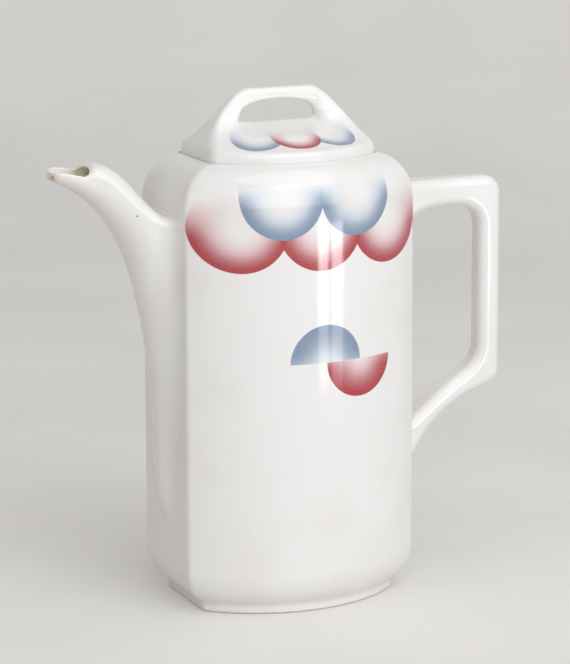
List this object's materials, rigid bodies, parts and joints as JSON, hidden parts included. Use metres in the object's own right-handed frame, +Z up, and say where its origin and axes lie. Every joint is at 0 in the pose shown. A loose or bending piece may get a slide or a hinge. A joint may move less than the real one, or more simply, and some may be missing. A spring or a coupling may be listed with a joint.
{
  "type": "coffee pot",
  "caption": "Tall glazed coffee pot with a flat-sided barrel body, curved spout, angular handle and a tented lid with a slotted grip that lifts off.",
  "frame": {"origin": "on the body's upright axis, in the plane that the foot ring stands on", "axes": "+Z up along the body's axis, -X towards the spout, +X towards the handle, -Y towards the front"},
  "size_m": [0.2134, 0.0944, 0.225],
  "materials": {
    "glaze": "gloss"
  },
  "bodies": {
    "pot": {"pot_body": "glaze", "foot_ring": "glaze", "spout": "glaze", "handle": "glaze"},
    "lid": {"lid_cap": "glaze", "lid_collar": "glaze", "lid_grip": "glaze"}
  },
  "joints": [
    {"name": "lid_lift", "type": "slide", "parent": "pot", "child": "lid", "axis": [0, 0, 1], "range_m": [0, 0.06]}
  ]
}
